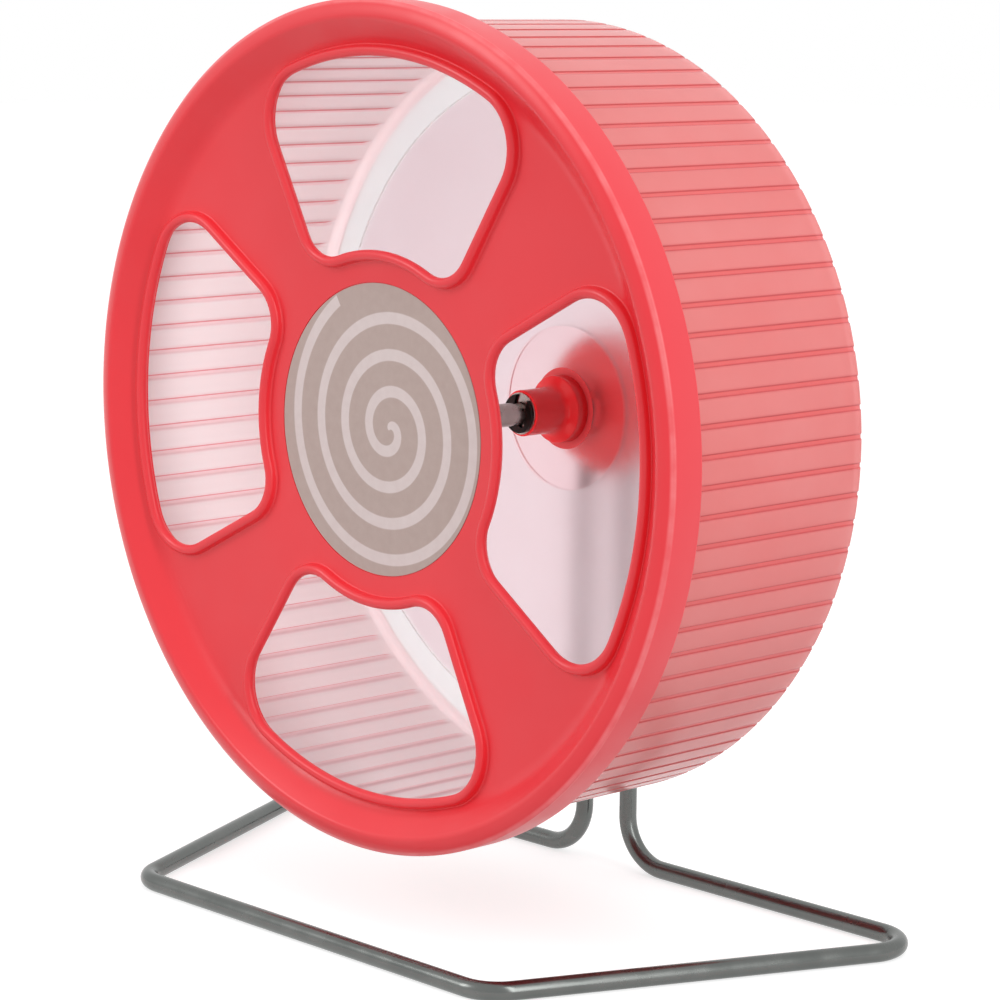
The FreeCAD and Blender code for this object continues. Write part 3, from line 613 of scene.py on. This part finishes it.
def lip_section():
    """Section of a lip, from the face inwards: offset out from the opening, height, and what it is over."""
    outside = 2 * LIP_RADIUS
    last = math.radians(270)
    section = []
    for angle in swept(0, QUARTER_TURN, steps=4):
        offset = outside + LIP_FOOT * (1 - math.sin(angle))
        section.append((offset, LIP_FOOT * (1 - math.cos(angle)), face_depth))
    for angle in swept(0, last, steps=22) + [last]:
        offset = LIP_RADIUS * (1 + math.cos(angle))
        section.append((offset, LIP_RISE + LIP_RADIUS * math.sin(angle), dish_depth))
    return section


def is_inside(point, polygon):
    """Even-odd test of a point against a closed outline."""
    crossings = 0
    for a, b in zip(polygon, polygon[1:] + polygon[:1]):
        if (a.y > point.y) != (b.y > point.y):
            crossings += point.x < a.x + (b.x - a.x) * (point.y - a.y) / (b.y - a.y)
    return crossings % 2 == 1


def plate_points(rings, loops):
    """Spread of points over the plate, clear of its edges and openings and finer towards the slope."""
    coarse = 4 * MM
    fine = 1.2 * MM
    fine_start = SLOPE_FOOT - 6 * MM
    closest_along = 2.2 * MM
    rim_gap = 0.5 * MM
    clear_share = 0.55
    row_share = 0.9
    edges = [point for loop in rings + loops for point in loop]
    tree = KDTree(len(edges))
    for index, point in enumerate(edges):
        tree.insert(point.to_3d(), index)
    tree.balance()
    points = []
    radius = LABEL_RADIUS + coarse
    while radius < PLATE_RIM - rim_gap:
        spacing = coarse if radius < fine_start else fine
        per_opening = 2 * math.pi * radius / max(spacing, closest_along) / OPENING_COUNT
        for point in circle(radius, round(per_opening) * OPENING_COUNT):
            near = tree.find(point.to_3d())[2] < clear_share * spacing
            if not near and not any(is_inside(point, loop) for loop in loops):
                points.append(point)
        radius += spacing * row_share
    return points


def front_disc(material):
    """Dished disc with a rounded rim, a skirt, a seat for the drum, a blind boss and lipped openings."""
    shell = Shell()
    outline = opening_outline()
    section = lip_section()
    turns = [2 * math.pi * k / OPENING_COUNT - WHEEL_TURN for k in range(OPENING_COUNT)]

    def loop(offset, turn):
        return [turned_by(point + normal * offset, turn) for point, normal in outline]

    seat_edge = LABEL_RADIUS + LABEL_GAP
    circles = [circle(PLATE_RIM, PLATE_COUNT), circle(seat_edge, PLATE_COUNT)]
    loops = [loop(section[0][0], turn) for turn in turns]
    flat = circles[0] + circles[1] + [point for one in loops for point in one]
    borders = []
    start = 0
    for one in circles + loops:
        count = len(one)
        borders += [(start + i, start + (i + 1) % count) for i in range(count)]
        start += count
    flat += plate_points(circles, loops)
    keep_all = 0
    tolerance = 1e-9
    triangles = delaunay_2d_cdt(flat, borders, [], keep_all, tolerance)[2]
    plate = []
    for triangle in triangles:
        middle = sum((flat[i] for i in triangle), Vector((0, 0))) / 3
        if seat_edge < middle.length < PLATE_RIM and not any(is_inside(middle, one) for one in loops):
            plate.append(triangle)

    def lift(points, depth_at, height=0.0):
        return [Vector((p.x, FRONT + depth_at(p.length) - height, AXLE.z + p.y)) for p in points]

    front = shell.ring(lift(flat, face_depth))
    flat_back = list(flat)
    first_lip = 2 * PLATE_COUNT
    hole = [point for turn in turns for point in loop(LIP_RADIUS, turn)]
    flat_back[first_lip:first_lip + len(hole)] = hole
    back = shell.ring(lift(flat_back, back_depth))
    for triangle in plate:
        shell.face([front[i] for i in triangle])
        shell.face([back[i] for i in triangle])
    size = len(outline)
    for k, turn in enumerate(turns):
        span = slice(first_lip + k * size, first_lip + (k + 1) * size)
        rings = [shell.ring(lift(loop(offset, turn), base, height)) for offset, height, base in section[1:]]
        shell.bridge_all([front[span]] + rings + [back[span]])
    finish_rim(shell, front[:PLATE_COUNT], back[:PLATE_COUNT])
    finish_hub(shell, front[PLATE_COUNT:first_lip], back[PLATE_COUNT:first_lip])
    return shell.make("front_disc_moulding", material)


def finish_rim(shell, front, back):
    """Slope, rounded rim, skirt, channel and drum seat, from the plate's front edge to its back edge."""
    ring_inner = DRUM_RADIUS + SEAT_GAP
    ring_outer = ring_inner + SEAT_WALL
    seat_end = DRUM_FRONT + SEAT_HEIGHT
    skirt_end = seat_end + SKIRT_LAP
    skirt_inner = RIM - SKIRT_WALL
    seat_inner = DRUM_RADIUS - SEAT_LAND
    snap = DRUM_FRONT + SNAP_RISE
    edge = 0.4 * MM
    land_round = (RIM_CREST ** 2 + RIM_FALL ** 2) / (2 * RIM_FALL)
    land_steps = 6
    land = [(CREST + x, land_round - math.sqrt(land_round ** 2 - x ** 2))
            for x in swept(RIM_CREST / land_steps, RIM_CREST, land_steps - 1)]
    corners = [
        (PLATE_RIM, face_depth(PLATE_RIM)),
        (CREST, 0, RIM_INNER_ROUND),
        *land,
        (RIM, RIM_FALL, RIM_EDGE_ROUND),
        (RIM, skirt_end, edge),
        (skirt_inner, skirt_end, edge),
        (skirt_inner, CHANNEL_DEPTH),
        (ring_outer, CHANNEL_DEPTH),
        (ring_outer, seat_end, edge),
        (ring_inner, seat_end, edge),
        (ring_inner, snap + SNAP_WIDTH / 2),
        (ring_inner + SNAP_HEIGHT, snap),
        (ring_inner, snap - SNAP_WIDTH / 2),
        (ring_inner, DRUM_FRONT),
        (seat_inner, DRUM_FRONT),
        (seat_inner, DRUM_FRONT - SEAT_RISE),
        (PLATE_RIM, back_depth(PLATE_RIM)),
    ]
    outline = rounded(corners)[1:-1]
    shell.bridge_all([front] + [wheel_ring(shell, r, d, len(front)) for r, d in outline] + [back])


def finish_hub(shell, front, back):
    """Label recess in front; boss with its blind bore behind."""
    count = len(front)
    recess = [wheel_ring(shell, r, LABEL_SEAT, count) for r in (LABEL_RADIUS + LABEL_GAP, 0)]
    shell.bridge_all([front] + recess)
    corners = [
        (BOSS_RADIUS, HUB_BACK),
        (BOSS_RADIUS, BOSS_END),
        (BOSS_BORE, BOSS_END),
        (BOSS_BORE, HUB_BACK),
        (0, HUB_BACK),
    ]
    shell.bridge_all([back] + [wheel_ring(shell, r, d, count if r else 1) for r, d in corners])


def rib_columns():
    """Columns round the drum: angle, share of the rib's height and share of the outer groove."""
    half_pitch = RIB_PITCH * DRUM_INNER / 2 / MM
    left = [(-distance, rib, groove) for distance, rib, groove in reversed(RIB_HALF)]
    period = [(-half_pitch, 0.0, 0.0)] + left + [(0.0, 1.0, 1.0)] + list(RIB_HALF)
    columns = []
    for k in range(RIB_COUNT):
        middle = RIB_START + k * RIB_PITCH
        columns += [(middle + distance * MM / DRUM_INNER, rib, groove) for distance, rib, groove in period]
    return columns


def drum(outside, inside, rear, corner, pad, lock_ring):
    """Tub with ribs inside, a shallow groove outside behind each rib, and a flat rear wall.

    The lock ring is pressed against the rear wall from behind; its red is painted on as lit, where it lies
    in shade.
    """
    shell = Shell()
    on_outside, on_inside, on_rear, on_corner, on_pad, on_painted_lock_ring = range(6)
    columns = rib_columns()
    coarse = columns[::len(columns) // (2 * RIB_COUNT)]
    wall_steps = 6

    def wall_ring(radius, depth, rib=0.0, groove=0.0, tilt=0.0):
        """Ring of the wall; the groove sinks along the wall's normal, tilted back by tilt."""
        points = []
        for angle, rib_share, groove_share in columns:
            sink = GROOVE_DEPTH * groove * groove_share
            reach = radius - RIB_HEIGHT * rib * rib_share - sink * math.cos(tilt)
            points.append(on_wheel(reach, depth - sink * math.sin(tilt), angle))
        return shell.ring(points)

    def flat_ring(radius, depth):
        return shell.ring([on_wheel(radius, depth, column[0]) for column in coarse])

    snap = DRUM_FRONT + SNAP_RISE
    groove_start = DRUM_FRONT + SEAT_HEIGHT + SKIRT_LAP
    outer = [wall_ring(radius, depth) for radius, depth in (
        (DRUM_INNER + DRUM_EDGE, DRUM_FRONT),
        (DRUM_RADIUS - DRUM_EDGE, DRUM_FRONT),
        (DRUM_RADIUS, DRUM_FRONT + DRUM_EDGE),
        (DRUM_RADIUS, snap - SNAP_WIDTH / 2),
        (DRUM_RADIUS + SNAP_HEIGHT, snap),
        (DRUM_RADIUS, snap + SNAP_WIDTH / 2),
        (DRUM_RADIUS, groove_start),
    )]
    round_centre = (DRUM_RADIUS - REAR_ROUND, DRUM_BACK - REAR_ROUND)
    outer += [wall_ring(DRUM_RADIUS, depth, groove=1.0)
              for depth in swept(groove_start + DRUM_EDGE, round_centre[1], wall_steps)]
    for tilt in swept(0, QUARTER_TURN, steps=6):
        outer.append(wall_ring(round_centre[0] + REAR_ROUND * math.cos(tilt),
                               round_centre[1] + REAR_ROUND * math.sin(tilt), groove=1.0, tilt=tilt))
    outer.append(wall_ring(round_centre[0], DRUM_BACK, groove=GROOVE_END_SHARE, tilt=QUARTER_TURN))
    outer.append(wall_ring(round_centre[0] - GROOVE_RUNOUT, DRUM_BACK))
    shell.bridge_all(outer, on_outside)

    collar_seat = DRUM_FLOOR + REAR_STEP
    behind = [flat_ring(r, DRUM_BACK) for r in (STEP_RADIUS, MIDDLE_RING, PAD_RADIUS)]
    pad_rings = [flat_ring(r, PAD_FACE) for r in (PAD_RADIUS, HUB_HOLE)]
    pad_rings += [flat_ring(r, collar_seat) for r in (HUB_HOLE, LOCK_SHOWN)]
    before = [flat_ring(r, collar_seat) for r in (PAD_RADIUS, MIDDLE_RING, STEP_RADIUS)]
    shell.bridge_all(outer[-1:] + behind, on_rear)
    shell.bridge_all(behind[-1:] + pad_rings[:3], on_pad)
    # Painted light: the lock ring's red, painted lit on the pad where the ring behind it lies in shade
    shell.bridge(pad_rings[2], pad_rings[3], on_painted_lock_ring)
    shell.bridge(pad_rings[3], before[0], on_pad)
    before += [flat_ring(r, DRUM_FLOOR) for r in (STEP_RADIUS + REAR_STEP, DRUM_INNER - CORNER_WIDTH)]
    shell.bridge_all(before, on_rear)

    rib_front = DRUM_FRONT + RIB_SETBACK
    hollow = [wall_ring(DRUM_INNER - INNER_ROUND * (1 - math.sin(tilt)),
                        DRUM_FLOOR - INNER_ROUND * (1 - math.cos(tilt)))
              for tilt in swept(0, QUARTER_TURN, steps=4)]
    inner = [wall_ring(DRUM_INNER, DRUM_FLOOR - INNER_ROUND)]
    inner += [wall_ring(DRUM_INNER, depth, rib=1.0)
              for depth in swept(DRUM_FLOOR - RIB_RUNOUT, rib_front, wall_steps)]
    inner.append(wall_ring(DRUM_INNER, rib_front + DRUM_EDGE, rib=1.0))
    inner.append(wall_ring(DRUM_INNER, rib_front))
    inner.append(wall_ring(DRUM_INNER, DRUM_FRONT + DRUM_EDGE))
    shell.bridge_all(before[-1:] + hollow + inner[:1], on_corner)
    shell.bridge_all(inner + outer[:1], on_inside)
    return shell.make("drum_moulding", outside, inside, rear, corner, pad, lock_ring)


def bent_path(points, bends):
    """Points along straight runs joined by arcs of the given radii, each with its direction."""
    path = [(points[0], (points[1] - points[0]).normalized())]
    for before, corner, after, radius in zip(points, points[1:], points[2:], bends):
        inwards = (before - corner).normalized()
        outwards = (after - corner).normalized()
        half = inwards.angle(outwards) / 2
        centre = corner + (inwards + outwards).normalized() * (radius / math.sin(half))
        leave = corner + inwards * (radius / math.tan(half)) - centre
        axis = leave.cross(corner - centre).normalized()
        turn = math.pi - 2 * half
        steps = math.ceil(turn / BEND_STEP)
        for i in range(steps + 1):
            turning = Matrix.Rotation(turn * i / steps, 3, axis)
            path.append((centre + turning @ leave, turning @ -inwards))
    path.append((points[-1], (points[-1] - points[-2]).normalized()))
    return path


def stand_wire(material):
    """One bent wire: down from the bracket, round the base and up again."""
    back = WIRE_HIGH.y - WIRE_RADIUS
    low = WIRE_LOW.z + WIRE_RADIUS
    right = [
        Vector((UPRIGHT_SPREAD, back, WIRE_HIGH.z)),
        Vector((UPRIGHT_SPREAD, back, low)),
        Vector((REAR_HALF_WIDTH, back, low)),
        Vector((FRONT_HALF_WIDTH, WIRE_LOW.y + WIRE_RADIUS, low)),
    ]
    left = [Vector((-p.x, p.y, p.z)) for p in reversed(right)]
    bends = [FOOT_BEND] + [CORNER_BEND] * 4 + [FOOT_BEND]
    shell = Shell()
    rings = []
    side = Vector((0, 1, 0))
    for point, direction in bent_path(right + left, bends):
        side = (side - direction * side.dot(direction)).normalized()
        other = direction.cross(side)
        rings.append(shell.ring([
            point + (side * math.cos(a) + other * math.sin(a)) * WIRE_RADIUS
            for a in swept(0, 2 * math.pi, WIRE_SIDES)
        ]))
    shell.bridge_all(rings)
    shell.face(rings[0])
    shell.face(rings[-1])
    return shell.make("stand_wire", material)


def hub_label(material):
    edge = 0.1 * MM
    return lathe("printed_label", [
        (0, HUB_FACE),
        (LABEL_RADIUS, HUB_FACE, edge),
        (LABEL_RADIUS, LABEL_SEAT),
        (0, LABEL_SEAT),
    ], material, count=180)


def hub_sleeve(material):
    """Stepped sleeve with a flared collar against the rear wall."""
    start = SLEEVE_LOW.y - FRONT
    end = SLEEVE_HIGH.y - FRONT
    collar = SLEEVE_HIGH.x
    seat = DRUM_FLOOR + REAR_STEP
    return lathe("hub_sleeve_moulding", [
        (SLEEVE_AXLE_BORE, start),
        (SLEEVE_RADIUS, start, SLEEVE_FRONT_ROUND),
        (SLEEVE_RADIUS, DRUM_FLOOR - FLARE_START, FLARE_ROUND),
        (collar, DRUM_FLOOR - FLARE_END, COLLAR_ROUND),
        (collar, seat, COLLAR_FOOT_ROUND),
        (SPIGOT_RADIUS, seat),
        (SPIGOT_RADIUS, end),
        (SLEEVE_BUSH_BORE, end),
        (SLEEVE_BUSH_BORE, start + SLEEVE_FRONT_WALL),
        (SLEEVE_AXLE_BORE, start + SLEEVE_FRONT_WALL),
    ], material, count=128)


def dress(node, material):
    """Give a CAD node its finish."""
    piece = frame["nodes"][node]
    piece.data.materials.clear()
    piece.data.materials.append(material)


def stand_in(piece, node, body):
    """Show a drawn piece in place of a CAD node."""
    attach(piece, body)
    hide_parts(node)


def build_wheel(red):
    stand_in(front_disc(disc_plastic()), "front_disc", "wheel")
    tub = drum(drum_outside(), drum_inside(), rear_wall_plastic(), rear_corner_plastic(),
               rear_pad_plastic(), lock_ring_painted_light())
    stand_in(tub, "drum", "wheel")
    stand_in(hub_label(label_print()), "hub_label", "wheel")
    stand_in(hub_sleeve(red), "hub_sleeve", "wheel")
    dress("hub_lock_ring", red)
    nylon = bush_nylon()
    dress("rear_bush", nylon)
    dress("front_bush", nylon)


def build_stand(red):
    wire = steel("wire_steel", (104, 107, 105), (113, 115, 113), roughness=0.2, grain=90)
    stand_in(stand_wire(wire), "stand_frame", "stand")
    dress("axle", steel("axle_steel", (150, 142, 138), (166, 158, 154), roughness=0.22, grain=120))
    washer = steel("washer_steel", (168, 166, 162), (184, 182, 178), roughness=0.25, grain=150)
    dress("thrust_washer", washer)
    dress("clip_washer", washer)
    black = steel("dark_steel", (44, 42, 42), (60, 57, 56), roughness=0.35, grain=150)
    dress("retaining_clip", black)
    dress("bracket_screws", black)
    dress("axle_bracket", red)
    dress("bracket_cover", red)


def light_switch(nodes, links):
    """Socket that is 1 for rays from the camera and for those seen in gloss or through clear pieces."""
    path = nodes.new("ShaderNodeLightPath")
    total = path.outputs["Is Camera Ray"]
    for name in ("Is Glossy Ray", "Is Transmission Ray"):
        joined = nodes.new("ShaderNodeMath")
        joined.operation = "MAXIMUM"
        links.new(total, joined.inputs[0])
        links.new(path.outputs[name], joined.inputs[1])
        total = joined.outputs[0]
    return total


def build_world():
    """White surroundings, with a dimmer level of plain light on the object itself."""
    world = bpy.data.worlds.new("studio")
    bpy.context.scene.world = world
    world.use_nodes = True
    nodes = world.node_tree.nodes
    links = world.node_tree.links
    strength = nodes.new("ShaderNodeMapRange")
    strength.inputs["To Min"].default_value = PLAIN_LIGHT
    strength.inputs["To Max"].default_value = 1.0
    links.new(light_switch(nodes, links), strength.inputs["Value"])
    nodes["Background"].inputs["Color"].default_value = (1, 1, 1, 1)
    links.new(strength.outputs[0], nodes["Background"].inputs["Strength"])


def build_lamp(name, place, target, width, height, power):
    """Soft oval lamp that faces its target."""
    lamp = bpy.data.lights.new(name, "AREA")
    lamp.shape = "ELLIPSE"
    lamp.size = width
    lamp.size_y = height
    lamp.energy = power
    made = bpy.data.objects.new(name, lamp)
    made.location = place
    made.rotation_euler = (Vector(target) - Vector(place)).to_track_quat("-Z", "Y").to_euler()
    bpy.context.scene.collection.objects.link(made)
    return made


def build_floor():
    """Pale floor that blends into the white surroundings and keeps the object's soft shadow."""
    mesh = bpy.data.meshes.new("floor")
    corners = [(x * FLOOR_REACH, y * FLOOR_REACH, 0) for x, y in ((-1, -1), (1, -1), (1, 1), (-1, 1))]
    mesh.from_pydata(corners, [], [(0, 1, 2, 3)])
    floor = bpy.data.objects.new("floor", mesh)
    bpy.context.scene.collection.objects.link(floor)
    material = bpy.data.materials.new("floor_paper")
    material.use_nodes = True
    nodes = material.node_tree.nodes
    links = material.node_tree.links
    shader = nodes["Principled BSDF"]
    shader.inputs["Base Color"].default_value = (FLOOR_SHADE, FLOOR_SHADE, FLOOR_SHADE, 1)
    shader.inputs["Roughness"].default_value = 0.9
    shader.inputs["Specular IOR Level"].default_value = 0.0
    shader.inputs["Emission Color"].default_value = (1, 1, 1, 1)
    glow = nodes.new("ShaderNodeMath")
    glow.operation = "MULTIPLY"
    glow.inputs[1].default_value = FLOOR_GLOW
    links.new(light_switch(nodes, links), glow.inputs[0])
    links.new(glow.outputs[0], shader.inputs["Emission Strength"])
    mesh.materials.append(material)


def build_camera():
    """Camera at the photograph's view: to the right of the front and a little above the axle."""
    azimuth = math.radians(46.115)
    elevation = math.radians(9.51)
    roll = math.radians(0.574)
    distance = 1.03593
    slide_right = 0.046497
    slide_up = -0.027097
    back = Vector((math.sin(azimuth) * math.cos(elevation), -math.cos(azimuth) * math.cos(elevation),
                   math.sin(elevation)))
    right = Vector((math.cos(azimuth), math.sin(azimuth), 0))
    up = back.cross(right)
    camera = bpy.data.cameras.new("camera")
    camera.sensor_width = 36
    camera.lens = 114.39
    camera.shift_x = 0.001
    camera.shift_y = 0.0173
    made = bpy.data.objects.new("camera", camera)
    place = Vector((0, FRONT, AXLE.z)) + back * distance + right * slide_right + up * slide_up
    turned_right = right * math.cos(roll) + up * math.sin(roll)
    turned_up = up * math.cos(roll) - right * math.sin(roll)
    axes = Matrix((turned_right, turned_up, back)).transposed().to_4x4()
    made.matrix_world = Matrix.Translation(place) @ axes
    bpy.context.scene.collection.objects.link(made)
    bpy.context.scene.camera = made


def build_studio():
    bpy.context.scene.view_settings.view_transform = "Standard"
    build_world()
    build_floor()
    middle = (0, 0, 0.16)
    build_lamp("key", (-1.1, -1.6, 1.2), middle, width=0.7, height=0.9, power=10)
    build_lamp("side", (1.7, -0.3, 1.1), middle, width=0.4, height=2.6, power=13)
    # Two lamps that face back stand for light that comes through the drum's wall and its clear rear
    for name, aside, depth, size, power in (("inside", -33 * MM, HUB_BACK + 2 * MM, 0.16, 0.13),
                                            ("behind", 0, PAD_FACE + 1 * MM, 0.13, 0.045)):
        lamp = build_lamp(name, on_wheel(aside, depth, 0), on_wheel(aside, 1, 0), size, size, power)
        lamp.visible_camera = False
        lamp.visible_glossy = False
        lamp.visible_transmission = False
    build_camera()


hub_red = hub_plastic()
build_wheel(hub_red)
build_stand(hub_red)
build_studio()
